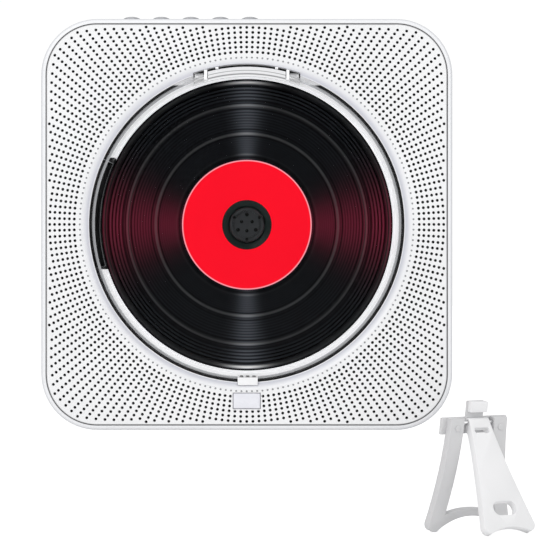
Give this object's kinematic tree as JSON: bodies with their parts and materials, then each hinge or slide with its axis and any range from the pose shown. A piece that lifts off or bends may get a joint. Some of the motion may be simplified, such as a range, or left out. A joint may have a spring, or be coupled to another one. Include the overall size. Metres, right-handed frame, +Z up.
{
  "type": "wall mounted cd player",
  "caption": "Square wall mounted disc player with perforated front, clear hinged round lid over the disc, top keys, open button and a folding desk stand.",
  "frame": {"origin": "centre of the flat back face that lies on the wall, on the disc's axis", "axes": "+Z up, +Y into the wall, -Y out of the front, +X to the right as seen from the front"},
  "size_m": [0.1977, 0.088, 0.2079],
  "materials": {
    "white_case": "satin moulded",
    "white_grille": "fine satin, perforated",
    "black_cloth": "woven dust cloth",
    "pale_bay": "satin moulded",
    "black_moulding": "satin moulded",
    "clear_lid": "clear moulded",
    "white_button": "gloss moulded",
    "grey_key": "satin gloss",
    "bright_steel": "ground bright",
    "zinc_screw": "zinc plated",
    "pressed_steel": "zinc plated sheet",
    "soft_rubber": "matt",
    "dark_disc": "gloss, grooved print",
    "red_label": "gloss print",
    "dark_hub": "satin moulded",
    "ivory_gear": "acetal, satin",
    "clear_lens": "coated",
    "green_board": "solder mask",
    "black_parts": "moulded parts",
    "black_basket": "black",
    "grey_cone": "pressed cone",
    "white_stand": "satin moulded",
    "grey_stand": "satin moulded"
  },
  "bodies": {
    "case": {"rear_cover": "white_case", "case_screws": "zinc_screw", "front_case": "white_case", "grille_panel": "white_grille", "dust_cloth": "black_cloth", "disc_bay": "pale_bay", "bay_screws": "zinc_screw", "finger_well": "black_moulding", "hinge_pin_left": "bright_steel", "hinge_pin_right": "bright_steel", "mech_chassis": "pressed_steel", "mech_dampers": "soft_rubber", "mech_screws": "zinc_screw", "upper_rod": "bright_steel", "lower_rod": "bright_steel", "spindle_motor": "pressed_steel", "sled_motor": "pressed_steel", "gear_post": "bright_steel", "main_board": "green_board", "board_parts": "black_parts", "power_jack": "black_parts", "audio_jack": "black_parts", "power_switch": "pressed_steel", "key_board": "green_board", "tact_switches": "black_parts", "left_speaker": "black_basket", "left_cone": "grey_cone", "right_speaker": "black_basket", "right_cone": "grey_cone", "speaker_screws": "zinc_screw"},
    "lid": {"lid": "clear_lid", "pull_tab": "white_button"},
    "turntable": {"spindle_shaft": "bright_steel", "spindle_hub": "dark_hub", "hub_claws": "dark_hub", "disc": "dark_disc", "disc_label": "red_label"},
    "sled": {"pickup_sled": "black_moulding", "sled_rack": "ivory_gear", "lens_holder": "black_moulding"},
    "lens": {"lens": "clear_lens"},
    "drive_gear": {"drive_gear": "ivory_gear"},
    "motor_pinion": {"motor_pinion": "ivory_gear"},
    "key_1": {"key_1": "grey_key"},
    "key_2": {"key_2": "grey_key"},
    "key_3": {"key_3": "grey_key"},
    "key_4": {"key_4": "grey_key"},
    "key_5": {"key_5": "grey_key"},
    "open_button": {"open_button": "white_button"},
    "latch": {"latch_slider": "pale_bay"},
    "switch_knob": {"switch_knob": "black_moulding"},
    "stand": {"stand_frame": "grey_stand", "stand_back_plate": "grey_stand", "stand_rivets": "grey_stand", "stand_hook": "white_stand", "stand_pin": "bright_steel"},
    "stand_leg": {"stand_leg": "white_stand"}
  },
  "joints": [
    {"name": "lid_hinge", "type": "hinge", "parent": "case", "child": "lid", "pos_m": [0, -0.0345, 0.0602], "axis": [-1, 0, 0], "range_deg": [0, 75]},
    {"name": "disc_spin", "type": "hinge", "parent": "case", "child": "turntable", "pos_m": [0, -0.0263, 0], "axis": [0, 1, 0], "continuous": true},
    {"name": "sled_slide", "type": "slide", "parent": "case", "child": "sled", "axis": [1, 0, 0], "range_m": [0, 0.031]},
    {"name": "lens_focus", "type": "slide", "parent": "sled", "child": "lens", "axis": [0, -1, 0], "range_m": [-0.0004, 0.0004], "stiffness_N_per_m": 60},
    {"name": "drive_gear_turn", "type": "hinge", "parent": "case", "child": "drive_gear", "pos_m": [0.03, -0.0128, -0.0282], "axis": [0, 1, 0], "range_deg": [-5, 380]},
    {"name": "motor_pinion_turn", "type": "hinge", "parent": "case", "child": "motor_pinion", "pos_m": [0.0224, -0.0128, -0.04136], "axis": [0, 1, 0], "range_deg": [-1050, 5]},
    {"name": "key_1_press", "type": "slide", "parent": "case", "child": "key_1", "axis": [0, 0, -1], "range_m": [0, 0.001], "stiffness_N_per_m": 300, "springref_m": -0.001},
    {"name": "key_2_press", "type": "slide", "parent": "case", "child": "key_2", "axis": [0, 0, -1], "range_m": [0, 0.001], "stiffness_N_per_m": 300, "springref_m": -0.001},
    {"name": "key_3_press", "type": "slide", "parent": "case", "child": "key_3", "axis": [0, 0, -1], "range_m": [0, 0.001], "stiffness_N_per_m": 300, "springref_m": -0.001},
    {"name": "key_4_press", "type": "slide", "parent": "case", "child": "key_4", "axis": [0, 0, -1], "range_m": [0, 0.001], "stiffness_N_per_m": 300, "springref_m": -0.001},
    {"name": "key_5_press", "type": "slide", "parent": "case", "child": "key_5", "axis": [0, 0, -1], "range_m": [0, 0.001], "stiffness_N_per_m": 300, "springref_m": -0.001},
    {"name": "open_press", "type": "slide", "parent": "case", "child": "open_button", "axis": [0, 1, 0], "range_m": [0, 0.0012], "stiffness_N_per_m": 300, "springref_m": -0.001},
    {"name": "latch_slide", "type": "slide", "parent": "case", "child": "latch", "axis": [0, 0, -1], "range_m": [-0.0001, 0.0013]},
    {"name": "switch_slide", "type": "slide", "parent": "case", "child": "switch_knob", "axis": [1, 0, 0], "range_m": [0, 0.003]},
    {"name": "stand_lift", "type": "slide", "parent": "case", "child": "stand", "axis": [0, 0, 1], "range_m": [0, 0.06]},
    {"name": "stand_fold", "type": "hinge", "parent": "stand", "child": "stand_leg", "pos_m": [0.0916, -0.064, -0.0788], "axis": [0.8192, 0.5736, 0], "range_deg": [0, 28]}
  ],
  "couplings": [
    {"joint": "drive_gear_turn", "follows": "sled_slide", "rad_per_m": 208.33},
    {"joint": "motor_pinion_turn", "follows": "sled_slide", "rad_per_m": -583.33},
    {"joint": "latch_slide", "follows": "open_press", "ratio": 1}
  ]
}
